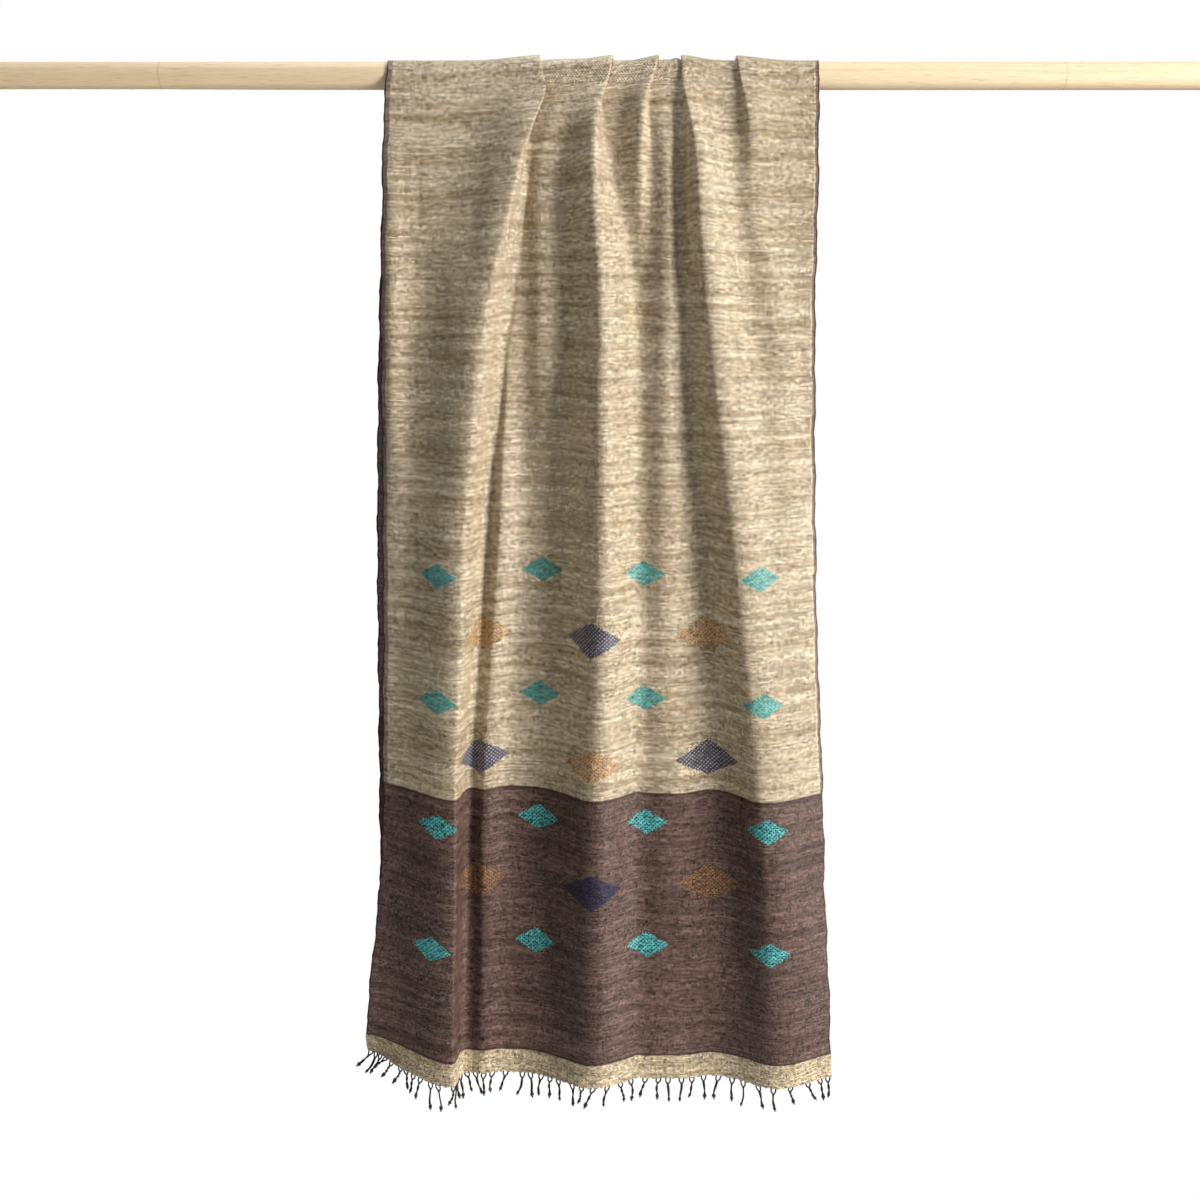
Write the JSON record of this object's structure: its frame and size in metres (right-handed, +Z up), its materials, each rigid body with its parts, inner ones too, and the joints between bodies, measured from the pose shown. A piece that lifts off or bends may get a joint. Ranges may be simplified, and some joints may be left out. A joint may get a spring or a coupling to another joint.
{
  "type": "silk scarf draped over a round wooden rod",
  "caption": "Long handwoven silk scarf hung over a round wooden rod, with loose vertical folds, a dark border, a pale end strip and a knotted fringe.",
  "frame": {"origin": "on the rod's axis, at the middle of its length, where the scarf hangs", "axes": "+X along the rod to the viewer's right, +Y away from the front panel towards the back one, +Z up"},
  "size_m": [1.2, 0.0901, 1.0054],
  "materials": {
    "natural_silk": "slubby plain weave with a soft silk sheen",
    "brown_silk": "slubby plain weave with a soft silk sheen",
    "pale_silk": "slubby plain weave with a soft silk sheen",
    "fringe_yarn": "twisted and knotted yarn",
    "rod_wood": "plain sanded pale wood"
  },
  "bodies": {
    "root": {"rod": "rod_wood", "rod_turn": "natural_silk", "front_field": "natural_silk", "front_border": "brown_silk", "front_end": "pale_silk", "front_fringe": "fringe_yarn", "back_field": "natural_silk", "back_border": "brown_silk", "back_end": "pale_silk", "back_fringe": "fringe_yarn"}
  },
  "joints": []
}
